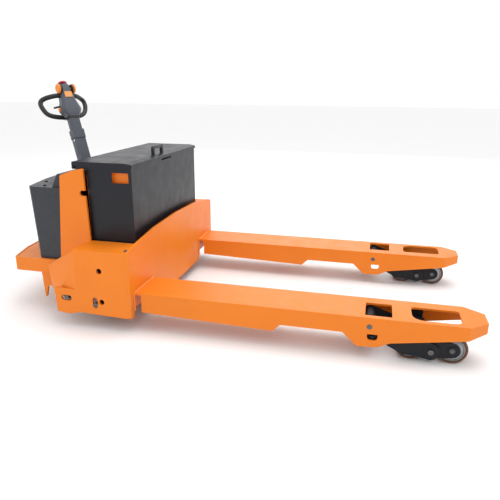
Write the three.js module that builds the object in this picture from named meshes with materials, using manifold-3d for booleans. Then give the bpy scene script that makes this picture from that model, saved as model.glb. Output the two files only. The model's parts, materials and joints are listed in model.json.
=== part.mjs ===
// Powered wide-fork pallet truck, every piece its own solid.
// Millimetres, +Z up, +X towards the fork tips, the tiller at -X.
// x is measured from the carriage's front face while modelling; add() moves it to the truck's middle.

import * as THREE from "three";
import { ConvexGeometry } from "three/addons/geometries/ConvexGeometry.js";
import { mergeVertices } from "three/addons/utils/BufferGeometryUtils.js";
import Module from "manifold-3d";

const wasm = await Module();
wasm.setup();

// ---- driving dimensions -------------------------------------------------
const gap = 0.3;                // between pieces that touch
const running = 0.6;            // round a pin that something turns on
const plate = 10;               // fork plate thickness
const sheet = 12;               // carriage plate thickness

const forkTop = 200;            // height of the fork tops as stored, raised
const forkReach = 1623;         // carriage face to fork nose
const forkOuter = 593;          // half of the width over the forks
const forkWidth = 230;
const forkInner = forkOuter - forkWidth;
const rearReach = 817;          // carriage face to the rear of the bumper
const loopReach = 823.3;        // carriage face to the rearmost point of the grip loop, as stored
const centreX = (forkReach - loopReach) / 2;

const panelOuter = 631;         // half of the carriage's width
const boxHalf = 447;            // half of the battery box's width
const shelfTop = 410;
const coverHalf = 448;
const deckTop = 284;
const bumperHalf = 470;

const rollerRadius = 68;
const rollerLine = 495;         // the roller group's centre line, from the truck's middle
const rearRollerX = 1309;
const frontRollerX = 1486;
const bogiePivot = { x: 1396, z: 57 };
const leverPin = { x: 1127, z: 156 };
const rodPin = { x: 1142, z: 106 };      // where the push rod meets the roller lever
const rockerPin = { x: -191, z: 129 };
const rockerRodPin = { x: -206, z: 179 };
const tiePin = { x: -349, z: 155 };

const steerX = -545;            // steering axis of the drive unit
const steerAngle = -30;         // the drive unit and tiller as stored, in degrees about +Z
const driveRadius = 125;
const tiltPin = { back: 20, z: 710 };
const armLean = 21;             // degrees back from upright

// ---- materials ----------------------------------------------------------
const orange = { color: 0xf08a2c, roughness: 0.38, metalness: 0 };
const charcoal = { color: 0x3a3d42, roughness: 0.42, metalness: 0 };
const tillerGrey = { color: 0x74787e, roughness: 0.45, metalness: 0 };
const black = { color: 0x17181a, roughness: 0.5, metalness: 0 };
const steel = { color: 0xa9abad, roughness: 0.3, metalness: 1 };
const darkSteel = { color: 0x3c3e40, roughness: 0.5, metalness: 0.8 };
const amber = { color: 0x6b4526, roughness: 0.35, metalness: 0 };
const red = { color: 0xb3262c, roughness: 0.4, metalness: 0 };

// ---- solid helpers ------------------------------------------------------
function toSolid(geometry) {
  const bare = geometry.clone();
  bare.deleteAttribute("normal");
  bare.deleteAttribute("uv");
  const merged = mergeVertices(bare, 1e-4);
  return new wasm.Manifold(new wasm.Mesh({
    numProp: 3,
    vertProperties: new Float32Array(merged.attributes.position.array),
    triVerts: new Uint32Array(merged.index.array),
  }));
}

function toGeometry(solid) {
  const mesh = solid.getMesh();
  const geometry = new THREE.BufferGeometry();
  geometry.setAttribute("position", new THREE.BufferAttribute(new Float32Array(mesh.vertProperties), 3));
  geometry.setIndex(new THREE.BufferAttribute(new Uint32Array(mesh.triVerts), 1));
  return geometry;
}

function join(...solids) {
  return solids.reduce((sum, next) => sum.add(next));
}

function cut(solid, ...tools) {
  return tools.reduce((rest, tool) => rest.subtract(tool), solid);
}

// A closed outline from corners [u, v, radius]; the radius is optional.
function outline(corners) {
  const points = [];
  const count = corners.length;
  corners.forEach(([u, v, radius = 0], i) => {
    const corner = new THREE.Vector2(u, v);
    if (radius === 0) {
      points.push(corner);
      return;
    }
    const before = corners[(i + count - 1) % count];
    const after = corners[(i + 1) % count];
    const toBefore = new THREE.Vector2(before[0] - u, before[1] - v).normalize();
    const toAfter = new THREE.Vector2(after[0] - u, after[1] - v).normalize();
    const halfAngle = Math.acos(THREE.MathUtils.clamp(toBefore.dot(toAfter), -1, 1)) / 2;
    const reach = radius / Math.tan(halfAngle);
    const bisector = toBefore.clone().add(toAfter).normalize();
    const centre = corner.clone().addScaledVector(bisector, radius / Math.sin(halfAngle));
    const start = corner.clone().addScaledVector(toBefore, reach).sub(centre);
    const end = corner.clone().addScaledVector(toAfter, reach).sub(centre);
    const sweep = Math.atan2(start.cross(end), start.dot(end));
    const steps = Math.max(2, Math.ceil(Math.abs(sweep) / (Math.PI / 8)));
    for (let step = 0; step <= steps; step += 1) {
      const turn = sweep * step / steps;
      points.push(start.clone().rotateAround(new THREE.Vector2(), turn).add(centre));
    }
  });
  return points;
}

function circle(u, v, radius, sides = 14) {
  return Array.from({ length: sides }, (_, i) => {
    const angle = 2 * Math.PI * i / sides;
    return new THREE.Vector2(u + radius * Math.cos(angle), v + radius * Math.sin(angle));
  });
}

// The outline of a belt laid round circles [u, v, radius].
function belt(circles, sides = 12) {
  const points = circles.flatMap(([u, v, radius]) => circle(u, v, radius, sides));
  points.sort((a, b) => a.x - b.x || a.y - b.y);
  const half = (list) => list.reduce((hull, point) => {
    while (hull.length > 1) {
      const [a, b] = hull.slice(-2);
      if ((b.x - a.x) * (point.y - a.y) - (b.y - a.y) * (point.x - a.x) > 1e-6) break;
      hull.pop();
    }
    hull.push(point);
    return hull;
  }, []);
  const lower = half(points);
  const upper = half(points.reverse());
  return lower.slice(0, -1).concat(upper.slice(0, -1));
}

function slotOutline(u, v, length, width, upright = false) {
  const reach = (length - width) / 2;
  const ends = upright ? [[u, v - reach], [u, v + reach]] : [[u - reach, v], [u + reach, v]];
  return belt(ends.map(([eu, ev]) => [eu, ev, width / 2]), 12);
}

function extrude(points, holes, depth) {
  const shape = new THREE.Shape(points);
  holes.forEach((hole) => shape.holes.push(new THREE.Path(hole)));
  return new THREE.ExtrudeGeometry(shape, { depth, bevelEnabled: false, curveSegments: 1 });
}

// Outlines in (y, z), (x, z) and (x, y), swept along the third axis.
function alongX(points, x0, x1, holes = []) {
  const basis = new THREE.Matrix4().makeBasis(
    new THREE.Vector3(0, 1, 0), new THREE.Vector3(0, 0, 1), new THREE.Vector3(1, 0, 0));
  return toSolid(extrude(points, holes, x1 - x0).applyMatrix4(basis).translate(x0, 0, 0));
}

function alongY(points, ya, yb, holes = []) {
  const [y0, y1] = [Math.min(ya, yb), Math.max(ya, yb)];
  return toSolid(extrude(points, holes, y1 - y0).rotateX(Math.PI / 2).translate(0, y1, 0));
}

function alongZ(points, z0, z1, holes = []) {
  return toSolid(extrude(points, holes, z1 - z0).translate(0, 0, z0));
}

function block(x0, x1, ya, yb, z0, z1) {
  const [y0, y1] = [Math.min(ya, yb), Math.max(ya, yb)];
  const geometry = new THREE.BoxGeometry(x1 - x0, y1 - y0, z1 - z0);
  return toSolid(geometry.translate((x0 + x1) / 2, (y0 + y1) / 2, (z0 + z1) / 2));
}

function barY(x, z, radius, ya, yb, sides = 12) {
  const geometry = new THREE.CylinderGeometry(radius, radius, Math.abs(yb - ya), sides);
  return toSolid(geometry.translate(x, (ya + yb) / 2, z));
}

function barZ(x, y, radius, z0, z1, sides = 16) {
  const geometry = new THREE.CylinderGeometry(radius, radius, z1 - z0, sides).rotateX(Math.PI / 2);
  return toSolid(geometry.translate(x, y, (z0 + z1) / 2));
}

function barBetween(from, to, radius, sides = 12) {
  const a = new THREE.Vector3(...from);
  const b = new THREE.Vector3(...to);
  const geometry = new THREE.CylinderGeometry(radius, radius, a.distanceTo(b), sides);
  const turn = new THREE.Quaternion().setFromUnitVectors(
    new THREE.Vector3(0, 1, 0), b.clone().sub(a).normalize());
  const middle = a.clone().add(b).multiplyScalar(0.5);
  return toSolid(geometry.applyQuaternion(turn).translate(middle.x, middle.y, middle.z));
}

// A ring about an axis along Y; the profile is [radius, y] and closes on itself.
function turnedY(x, y, z, profile, sides = 20) {
  const closed = profile.concat([profile[0]]).map(([radius, height]) => new THREE.Vector2(radius, height));
  return toSolid(new THREE.LatheGeometry(closed, sides).translate(x, y, z));
}

function hull(points) {
  return toSolid(new ConvexGeometry(points.map((point) => new THREE.Vector3(...point))));
}

const group = new THREE.Group();

function add(name, solid, finish) {
  const geometry = toGeometry(solid).translate(-centreX, 0, 0);
  const mesh = new THREE.Mesh(geometry, new THREE.MeshStandardMaterial(finish));
  mesh.name = name;
  group.add(mesh);
}

const sides = { right: -1, left: 1 };    // +Y is the truck's left, seen from the tiller

// ---- forks --------------------------------------------------------------
function fork(side) {
  const middle = side * (forkOuter - forkWidth / 2);
  const noseHalf = 50;
  const taperX = 1542;
  const plan = (inset, rear) => [
    [rear, middle - forkWidth / 2 + inset],
    [taperX - inset * 0.3, middle - forkWidth / 2 + inset],
    [forkReach - inset, middle - noseHalf + inset * 0.7],
    [forkReach - inset, middle + noseHalf - inset * 0.7],
    [taperX - inset * 0.3, middle + forkWidth / 2 - inset],
    [rear, middle + forkWidth / 2 - inset],
  ];
  const profile = outline([
    [gap, forkTop], [gap, forkTop - plate], [37, forkTop - plate], [37, 102], [690, 82], [727, 117],
    [1010, 117], [1075, 56, 12], [1167, 61, 12], [1221, 87], [taperX, 138], [forkReach, 152],
    [forkReach, forkTop],
  ]);
  const shell = alongZ(outline(plan(0, gap)), 0, forkTop)
    .intersect(alongY(profile, middle - forkWidth, middle + forkWidth));
  const cavity = alongZ(outline(plan(plate, -50)), -1, forkTop - plate);
  const rearWindow = outline([
    [1104, side * 424, 6], [1222, side * 424, 6], [1222, side * 566, 6], [1104, side * 566, 6],
  ]);
  const frontWindow = outline([
    [1306, side * 426, 18], [1515, side * 426, 18], [1515, side * 566, 34], [1306, side * 566, 52],
  ]);
  const rodHole = outline([
    [rodPin.x - 23, 121, 3], [rodPin.x - 23, 92, 14], [rodPin.x + 23, 92, 14], [rodPin.x + 23, 121, 3],
  ]);
  return cut(
    shell,
    cavity,
    alongZ(rearWindow, forkTop - 20, forkTop + 5),
    alongZ(frontWindow, forkTop - 20, forkTop + 5),
    barY(leverPin.x, leverPin.z, 12.5 + gap, side * 350, side * 600),
    alongY(rodHole, side * 350, side * 600),
  );
}

// ---- roller lever, bogie and rollers ------------------------------------
const rollerHalf = 56;
const linkInner = rollerHalf + 2;
const linkOuter = linkInner + 9;
const leverInner = linkOuter + 2;
const leverOuter = leverInner + 9;

function rollerLever(side) {
  const line = side * rollerLine;
  const arm = belt([[leverPin.x, leverPin.z, 30], [bogiePivot.x, bogiePivot.z, 39]]);
  const apron = outline([
    [1150, 150], [1160, 112], [1196, 71], [1237, 52], [1268, 34, 18], [1346, 27], [1390, 19], [1390, 90],
  ]);
  const horn = belt([[leverPin.x, leverPin.z, 28], [rodPin.x, rodPin.z, 19]]);
  const outerPlate = join(
    alongY(arm, line + side * leverInner, line + side * leverOuter),
    alongY(horn, line + side * leverInner, line + side * leverOuter),
  );
  const innerPlate = alongY(arm, line - side * leverInner, line - side * leverOuter);
  const aprons = [1, -1].map((face) => alongY(apron, line + face * leverInner, line + face * leverOuter));
  const tube = barY(leverPin.x, leverPin.z, 25, line - leverOuter, line + leverOuter);
  const guard = alongY(
    outline([[1312, 151], [1368, 145], [1368, 153], [1312, 159]]), line - leverInner - 1, line + leverInner + 1);
  const guardEars = [1, -1].map((ear) => alongY(
    outline([[1306, 90], [1372, 90], [1371, 148], [1308, 152]]),
    line + ear * leverInner, line + ear * (leverInner + 5)));
  const rodStub = barY(rodPin.x, rodPin.z, 8, side * (rollerLine - 12), side * (forkOuter - 3));
  return cut(
    join(outerPlate, innerPlate, ...aprons, tube, guard, ...guardEars, rodStub),
    barY(leverPin.x, leverPin.z, 12.5 + running, line - 100, line + 100),
    barY(bogiePivot.x, bogiePivot.z, 13 + running, line - 100, line + 100),
  );
}

function bogie(side) {
  const line = side * rollerLine;
  const link = belt([
    [rearRollerX, rollerRadius, 30], [bogiePivot.x, bogiePivot.z, 35], [frontRollerX, rollerRadius, 35],
  ]);
  return join(
    alongY(link, line + linkInner, line + linkOuter),
    alongY(link, line - linkInner, line - linkOuter),
    barY(bogiePivot.x, bogiePivot.z, 13, line - leverOuter - 4, line + leverOuter + 4),
    barY(rearRollerX, rollerRadius, 11, line - linkOuter - 1, line + linkOuter + 1),
    barY(frontRollerX, rollerRadius, 11, line - linkOuter - 1, line + linkOuter + 1),
  );
}

function rollerTread(x, side) {
  const half = rollerHalf - 1;
  return turnedY(x, side * rollerLine, rollerRadius, [
    [56 + gap, -half], [rollerRadius - 4, -half], [rollerRadius, -half + 5],
    [rollerRadius, half - 5], [rollerRadius - 4, half], [56 + gap, half],
  ]);
}

function rollerHub(x, side) {
  const bore = 11 + gap;
  return turnedY(x, side * rollerLine, rollerRadius, [
    [bore, -rollerHalf], [26, -rollerHalf], [34, -rollerHalf + 8], [56, -rollerHalf + 1],
    [56, rollerHalf - 1], [34, rollerHalf - 8], [26, rollerHalf], [bore, rollerHalf],
  ]);
}

function pushRod(side) {
  const line = side * rollerLine;
  const rear = [rockerRodPin.x, line, rockerRodPin.z];
  const front = [rodPin.x, line, rodPin.z];
  const eye = (pin) => barY(pin.x, pin.z, 17, line - 10, line + 10);
  const eyeHole = (pin) => barY(pin.x, pin.z, 9.6, line - 20, line + 20);
  return cut(
    join(barBetween(rear, front, 9), eye(rockerRodPin), eye(rodPin)),
    eyeHole(rockerRodPin),
    eyeHole(rodPin),
  );
}

// ---- rocker shaft -------------------------------------------------------
function rockerShaft() {
  const tipX = rockerPin.x - 270;
  const parts = [barY(rockerPin.x, rockerPin.z, 20, -560, 560), barY(rockerPin.x, rockerPin.z, 12.5, -628, 628)];
  for (const side of Object.values(sides)) {
    const rearArm = belt([[rockerPin.x, rockerPin.z, 30], [tipX, rockerPin.z, 14]]);
    const upperArm = belt([[rockerPin.x, rockerPin.z, 28], [rockerRodPin.x, rockerRodPin.z, 17]]);
    parts.push(alongY(rearArm, side * 420, side * 436));
    parts.push(alongY(upperArm, side * (rollerLine + 12), side * (rollerLine + 24)));
    parts.push(barY(rockerRodPin.x, rockerRodPin.z, 8, side * (rollerLine - 12), side * (rollerLine + 24)));
  }
  return join(...parts);
}

// ---- carriage -----------------------------------------------------------
function frontPlate() {
  const half = panelOuter;
  const foot = forkOuter + 4;
  const sideCorners = (side) => [
    [side * 300, 458, 60], [side * 540, 432, 40], [side * half, 412, 4], [side * half, 73, 18],
    [side * foot, 73, 14], [side * foot, 120], [side * (forkInner + 20), 120], [side * (forkInner + 20), 88],
    [side * (forkInner - 8), 60],
  ];
  const face = outline([[0, 467, 120], ...sideCorners(1), ...sideCorners(-1).reverse()]);
  const rodHoles = Object.values(sides).map((side) => circle(side * rollerLine, 167, 24));
  return alongX(face, -sheet, 0, rodHoles);
}

function sidePanel(side) {
  const front = -sheet - gap;
  const rear = -290;            // rear edge of the wall and of the shelf
  const bandTop = 204;
  const columnY = -475;
  const flareY = -484;          // the shoulder's rear end, just outside the bumper
  const wall = outline([
    [front, shelfTop], [front, 75], [-279, 84, 30], [-339, 70, 30], [-405, 77, 8], [-413, bandTop, 3],
    [rear, bandTop], [rear, shelfTop],
  ]);
  const shelf = block(rear, front, -panelOuter + 1, columnY + sheet, shelfTop - sheet, shelfTop);
  const gusset = (dy, dz, inner) => hull([
    [rear, -panelOuter + dy, 378 + dz], [rear, -panelOuter + dy, bandTop + dz], [-384, -608 + dy, bandTop + dz],
    [rear, columnY + dy, shelfTop + dz], [rear, inner, shelfTop + dz], [rear, inner, bandTop + dz],
    [-384, inner, bandTop + dz],
  ]);
  const shoulder = (dy, dz, inner) => hull([
    [rear, columnY + dy, shelfTop + dz], [-466, columnY + dy, 285 + dz], [-540, flareY + dy, 262 + dz],
    [-528, flareY + dy, 136], [-405, -620 + dy, 172], [rear, -620 + dy, 172], [rear, inner, shelfTop + dz],
    [-466, inner, 285 + dz], [-528, inner, 136], [rear, inner, 172],
  ]);
  const skin = join(
    cut(gusset(0, 0, columnY + sheet), gusset(sheet, -sheet, -400)),
    cut(shoulder(0, 0, columnY + sheet), shoulder(sheet, -sheet, -400)),
  );
  const column = alongY(outline([
    [rear, 777, 6], [-350, 765, 30], [-420, 738, 8], [-466, 270], [-280, 390],
  ]), columnY, columnY + sheet);
  const notch = alongY(slotOutline(rear, 654, 56, 28), -500, -450);
  const panel = cut(
    join(alongY(wall, -panelOuter, -panelOuter + sheet), shelf, skin, cut(column, notch)),
    barY(-157, 311, 14.5, -660, -600),
    barY(-155, 150, 14.5, -660, -600),
    alongY(slotOutline(rockerPin.x, rockerPin.z + 14, 58, 28, true), -660, -600),
    alongY(slotOutline(tiePin.x, tiePin.z, 58, 28), -660, -600),
    barY(tiePin.x, tiePin.z, 14, -panelOuter + sheet, -560),
  );
  return side < 0 ? panel : panel.mirror([0, 1, 0]);
}

function batteryTray() {
  const floor = block(-284, -sheet - gap, -450, 450, 384, 396);
  const rearWall = block(-300, -288, -425, 425, 325, 740);
  return join(floor, block(-290, -280, -450, 450, 384, 396), rearWall);
}

// ---- battery box and lid ------------------------------------------------
const boxFront = -45;
const boxRear = -285;
const boxFloor = 396 + gap;
const boxTop = 790;

function batteryBox() {
  const wall = 4;
  const outer = block(boxRear, boxFront, -boxHalf, boxHalf, boxFloor, boxTop);
  const inner = block(
    boxRear + wall, boxFront - wall, -boxHalf + wall, boxHalf - wall, boxFloor + wall, boxTop + 10);
  const window = block(-150, -62, -boxHalf - 5, -boxHalf + 5, 708, 758);
  const fingerSlot = block(boxFront - 10, boxFront + 5, -75, 60, 774, boxTop + 10);
  return cut(outer, inner, window, fingerSlot);
}

function windowPanel() {
  const tray = block(-158, -56, -boxHalf + 4 + gap, -boxHalf + 24, 700, 766);
  return cut(tray, block(-153, -60, -boxHalf - 5, -boxHalf + 21, 705, 761));
}

function batteryPack() {
  const crate = block(-274, -56, -415, 415, boxFloor + 4 + gap, 660);
  const cells = [];
  for (let row = 0; row < 2; row += 1) {
    for (let cell = 0; cell < 6; cell += 1) {
      const x = -220 + row * 110;
      const y = -340 + cell * 136;
      cells.push(block(x - 48, x + 48, y - 62, y + 62, 655, 676));
    }
  }
  return join(crate, ...cells);
}

const lidRear = -362;
const lidFront = -39;
const lidHalf = 452;
const lidPivot = { x: -352, z: 778 };

function batteryLid() {
  const section = outline([
    [lidRear, 770], [lidRear, 806, 5], [-75, 806, 20], [lidFront, 800, 3], [lidFront, 784], [-300, 770],
  ]);
  const inside = outline([
    [lidRear + 3, 700], [lidRear + 3, 803, 3], [-75, 803, 18], [lidFront - 3, 797.5, 2], [lidFront - 3, 700],
  ]);
  const shell = cut(
    alongY(section, -lidHalf, lidHalf),
    alongY(inside, -lidHalf + 3, lidHalf - 3),
  );
  const screws = Object.values(sides).map((side) => barY(
    lidPivot.x, lidPivot.z, 6, side * (lidHalf - 6), side * (lidHalf + 8)));
  return join(shell, ...screws);
}

function lidHandle() {
  const grip = outline([
    [-103, 806 + gap], [-103, 851, 14], [27, 851, 14], [27, 806 + gap], [11, 806 + gap], [11, 836, 5],
    [-87, 836, 5], [-87, 806 + gap],
  ]);
  return alongX(grip, -92, -76);
}

// ---- chassis ------------------------------------------------------------
const beamOuter = 449.5;        // half of the width over the chassis beams
const casterX = -500;
const casterY = 310;
const casterRadius = 60;
const casterTrail = 40;

function deckPlan(inset) {
  const halfPlan = (side) => [
    [-810 + inset, side * 180, 60], [-797 + inset, side * 300, 60], [-750 + inset, side * (bumperHalf - inset), 18],
  ];
  return [[-rearReach + inset, 0], ...halfPlan(1), ...halfPlan(-1).reverse()];
}

function deckOutline(inset, frontCorners) {
  const [rear, ...rest] = deckPlan(inset);
  const mirrored = frontCorners.map(([x, y]) => [x, -y]).reverse();
  return outline([rear, ...rest.slice(0, 3), ...frontCorners, ...mirrored, ...rest.slice(3)]);
}

function chassisFrame() {
  const driveHole = circle(steerX, 0, 112, 32);
  const toothPlate = outline([
    [-600, deckTop - 4], [-600, 212], [-592, 68, 2], [-586, 68, 2], [-572, 126, 8], [-552, 136, 12], [-528, 134, 8],
    [-466, 134], [-466, deckTop - 4],
  ]);
  const deck = deckOutline(9, [[-490, bumperHalf - 9], [-490, beamOuter], [-310, beamOuter]]);
  const parts = [alongZ(deck, deckTop - 8, deckTop, [driveHole])];
  for (const side of Object.values(sides)) {
    parts.push(block(-470, -60, side * (beamOuter - 12), side * beamOuter, 208, deckTop - 4));
    parts.push(block(-148, -60, side * 300, side * beamOuter, 160, 196));
    parts.push(block(-478, -452, side * 416, side * beamOuter, 148, deckTop - 4));
    parts.push(alongY(toothPlate, side * (beamOuter - 1), side * (bumperHalf - 9)));
    parts.push(barZ(casterX, side * casterY, 34, 262, deckTop - 4));
  }
  parts.push(block(-78, -60, -beamOuter, beamOuter, 190, deckTop - 4));
  return join(...parts);
}

function bumperSkirt() {
  const low = 212;
  const band = cut(
    alongZ(deckOutline(0, [[-500, bumperHalf]]), low, deckTop + 2),
    alongZ(deckOutline(8, [[-400, bumperHalf - 8]]), low - 5, deckTop + 10),
  );
  return band;
}

function driveCover() {
  const plan = (lean, inset, z) => [1, -1].flatMap((side) => [
    [-402, side * (coverHalf - inset), z], [-597 - lean + inset, side * (coverHalf - inset), z],
    [-613 - lean + inset, side * (coverHalf - 14 - inset), z], [-674 - lean / 2 + inset, side * (215 - inset), z],
    [-690 - lean / 2 + inset, side * 60, z],
  ]);
  const body = (inset, low, high) => hull([...plan(0, inset, low), ...plan(19, inset, high)]);
  const crown = (inset, low, high) => hull([1, -1].flatMap((side) => [
    [-402 - inset, side * (coverHalf - 8 - inset), low], [-508 + inset, side * (coverHalf - 8 - inset), low],
    [-402 - inset, side * (coverHalf - 22 - inset), high], [-468 + inset, side * (coverHalf - 22 - inset), high],
    [-497 + inset, side * (coverHalf - 14 - inset), 668 - inset],
  ]));
  const outer = join(body(0, deckTop + gap, 668), crown(0, 560, 735));
  const inner = join(body(5, deckTop - 40, 663), crown(5, 540, 730));
  return cut(outer, inner, barZ(steerX, 0, 66, 600, 760, 32));
}

function pumpMotor() {
  return join(
    barY(-560, 390, 42, 170, 300),
    barY(-560, 390, 26, 290, 350),
    block(-585, -535, 190, 280, 300, 350),
    block(-597, -523, 180, 290, deckTop + gap, 304),
  );
}

function hydraulicTank() {
  const plan = outline([[-597, -370, 20], [-597, -170, 20], [-420, -170, 20], [-420, -370, 20]]);
  return join(alongZ(plan, deckTop + gap, 500), barZ(-560, -320, 22, 495, 520));
}

// ---- casters ------------------------------------------------------------
function casterFork(side) {
  const y = side * casterY;
  const wheelX = casterX - casterTrail;
  const leg = belt([[wheelX, casterRadius, 20], [casterX - 6, 141, 24]]);
  return join(
    barZ(casterX, y, 40, 236, 262 - gap),
    barZ(casterX, y, 23, 140, 240),
    block(casterX - 34, casterX + 24, y - 34, y + 34, 136, 150),
    alongY(leg, y - 34, y - 26),
    alongY(leg, y + 26, y + 34),
    barY(wheelX, casterRadius, 8, y - 30, y + 30),
  );
}

function casterWheel(side) {
  return turnedY(casterX - casterTrail, side * casterY, casterRadius, [
    [8 + gap, -25], [22, -25], [26, -18], [44, -25], [casterRadius, -22],
    [casterRadius, 22], [44, 25], [26, 18], [22, 25], [8 + gap, 25],
  ]);
}

// ---- lift cylinders -----------------------------------------------------
const cylinderX = -113;
const cylinderY = 380;

function liftCylinder(side) {
  const tube = barZ(cylinderX, side * cylinderY, 32, 196 + gap, 330);
  return cut(tube, barZ(cylinderX, side * cylinderY, 20 + running, 212, 340));
}

function liftRam(side) {
  return join(
    barZ(cylinderX, side * cylinderY, 20, 262, 380),
    barZ(cylinderX, side * cylinderY, 30, 374, 384 - gap),
  );
}

// ---- drive unit (built straight ahead, then turned to the stored angle) --
function steered(solid) {
  return solid.rotate([0, 0, steerAngle]).translate([steerX, 0, 0]);
}

function steerPost() {
  const ring = barZ(0, 0, 128, deckTop + gap, 300, 28);
  const bridge = [
    block(-22, 22, -106, -90, 298, 510),
    block(-22, 22, 90, 106, 298, 510),
    block(-26, 26, -106, 106, 500, 514),
  ];
  const post = barZ(0, 0, 38, 505, 676);
  const pin = -tiltPin.back;
  const ears = [1, -1].map((side) => alongY(
    belt([[pin, tiltPin.z, 24], [0, 672, 38]]), side * 33, side * 45));
  const cap = join(barZ(0, 0, 50, 650, 676), block(-40, 40, -45, 45, 664, 676));
  return join(ring, ...bridge, post, cap, ...ears, barY(pin, tiltPin.z, 9, -45, 45));
}

function driveMotor() {
  return join(barZ(0, 0, 80, 300 + gap, 470, 24), barZ(0, 0, 60, 465, 492));
}

function gearbox() {
  const neck = barZ(0, 0, 100, 254, deckTop, 28);
  const wing = alongY(belt([[0, 240, 34], [0, driveRadius, 40]]), 47, 75);
  const axle = barY(0, driveRadius, 20, -40, 60);
  return join(neck, wing, axle);
}

function driveTyre() {
  const half = 38;
  return turnedY(0, 0, driveRadius, [
    [96 + gap, -half], [driveRadius - 6, -half], [driveRadius, -half + 7],
    [driveRadius, half - 7], [driveRadius - 6, half], [96 + gap, half],
  ], 28);
}

function driveHub() {
  const half = 38;
  return turnedY(0, 0, driveRadius, [
    [20 + gap, -half - 4], [44, -half - 4], [60, -half + 16], [96, -half],
    [96, half], [60, half - 16], [44, half + 4], [20 + gap, half + 4],
  ], 28);
}

// ---- tiller (built upright over its tilt pin, then leaned and turned) ----
function tiller(solid) {
  return steered(solid.rotate([0, -armLean, 0]).translate([-tiltPin.back, 0, tiltPin.z]));
}

const jointZ = 166;
const neckZ = 285;
const headZ = 298;
const headBack = (z) => -(z - headZ) * 0.06;

function lowerArm() {
  const tube = block(-25, 25, -31, 31, 22, jointZ);
  const lug = join(alongY(belt([[0, 0, 22], [0, 34, 22]]), -31, 31), block(-25, 25, -31, 31, 20, 50));
  const spigot = block(-19, 19, -24, 24, jointZ - 4, jointZ + 30);
  return cut(
    join(tube, lug, spigot),
    barY(0, 0, 9 + running, -60, 60),
    barY(-12, jointZ + 14, 7 + gap, -60, 60),
  );
}

function armPin() {
  return barY(-12, jointZ + 14, 7, -39, 39);
}

function upperArm() {
  const section = (wide, deep) => outline([
    [-deep, -wide, 8], [deep, -wide, 8], [deep, wide, 8], [-deep, wide, 8],
  ]);
  const sleeve = alongZ(section(36, 30), jointZ + gap, 216);
  const tube = alongZ(section(30, 25), 210, neckZ);
  return cut(
    join(sleeve, tube),
    block(-19 - gap, 19 + gap, -24 - gap, 24 + gap, jointZ - 1, jointZ + 30 + gap),
    barY(-12, jointZ + 14, 7 + gap, -60, 60),
  );
}

function neckCollar() {
  return alongZ(outline([[-28, -34, 8], [28, -34, 8], [28, 34, 8], [-28, 34, 8]]), neckZ + gap, headZ - gap);
}

const loopRadius = 13;
const loopPoints = [
  [0, -14, 430], [62, -25, 431], [113, -58, 426], [137, -68.2, 406], [134, -65, 368], [112, -62, 334],
  [66, -56, 316], [0, -50, 310],
];

function gripLoop(radius) {
  const mirrored = loopPoints.slice(1, -1).reverse().map(([y, x, z]) => [-y, x, z]);
  const path = new THREE.CatmullRomCurve3(
    loopPoints.concat(mirrored).map(([y, x, z]) => new THREE.Vector3(x, y, z)), true, "centripetal");
  return toSolid(new THREE.TubeGeometry(path, 32, radius, 7, true));
}

const knobPin = { x: 8, z: 462 };
const knobRadius = 26;
const thumbX = -14;
const thumbZ = 345;
const thumbRadius = 10;

function headHousing() {
  const ring = (z, wide, front, rear) => [1, -1].flatMap((side) => [
    [headBack(z) + front, side * wide * 0.7, z], [headBack(z) + front - 14, side * wide, z],
    [headBack(z) - rear, side * wide * 0.85, z],
  ]);
  const lower = hull([
    ...ring(headZ, 36, 27, 27), ...ring(316, 50, 30, 34), ...ring(338, 62, 31, 38), ...ring(352, 60, 31, 38),
    ...ring(425, 33, 30, 30),
  ]);
  const upper = hull([...ring(355, 50, 30, 36), ...ring(425, 33, 30, 34), ...ring(484, 27, 28, 34),
    ...ring(492, 22, 22, 28)]);
  const lug = hull([-1, 1].flatMap((side) => [
    [-30, side * 26, 296], [-30, side * 26, 330], [-66, side * 20, 298], [-66, side * 20, 322],
  ]));
  const thumbPockets = Object.values(sides).map((side) => barY(
    thumbX, thumbZ, thumbRadius + running, side * 50, side * 80, 16));
  return cut(
    join(lower, upper, lug),
    gripLoop(loopRadius + gap),
    barY(knobPin.x, knobPin.z, 6 + running, -60, 60),
    barZ(headBack(492), 0, 9 + gap, 470, 500),
    ...thumbPockets,
  );
}

function headPlate() {
  return hull([[1, 408], [-1, 408], [1, 441], [-1, 441]].flatMap(([side, z]) => [
    [headBack(z) + 30.5, side * 23, z], [headBack(z) + 34, side * 21, z],
  ]));
}

function bellyButton() {
  const x = headBack(492);
  return join(
    barZ(x, 0, 9, 478, 503),
    toSolid(new THREE.CylinderGeometry(22, 26, 11, 28).rotateX(Math.PI / 2).translate(x, 0, 505.5)),
  );
}

function knob(side) {
  return join(
    barY(knobPin.x, knobPin.z, knobRadius, side * 39, side * 53, 24),
    barY(knobPin.x, knobPin.z, 6, side * 2, side * 40),
  );
}

function thumbButton(side) {
  return barY(thumbX, thumbZ, thumbRadius, side * 54, side * 66, 16);
}

// ---- assembly -----------------------------------------------------------
add("chassis_frame", chassisFrame(), orange);
add("bumper_skirt", bumperSkirt(), orange);
add("drive_cover", driveCover(), charcoal);
add("pump_motor", pumpMotor(), darkSteel);
add("hydraulic_tank", hydraulicTank(), darkSteel);

add("front_plate", frontPlate(), orange);
add("battery_tray", batteryTray(), orange);
add("battery_box", batteryBox(), charcoal);
add("window_panel", windowPanel(), orange);
add("battery_pack", batteryPack(), black);
add("battery_lid", batteryLid(), charcoal);
add("lid_handle", lidHandle(), black);
add("rocker_shaft", rockerShaft(), darkSteel);

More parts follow.
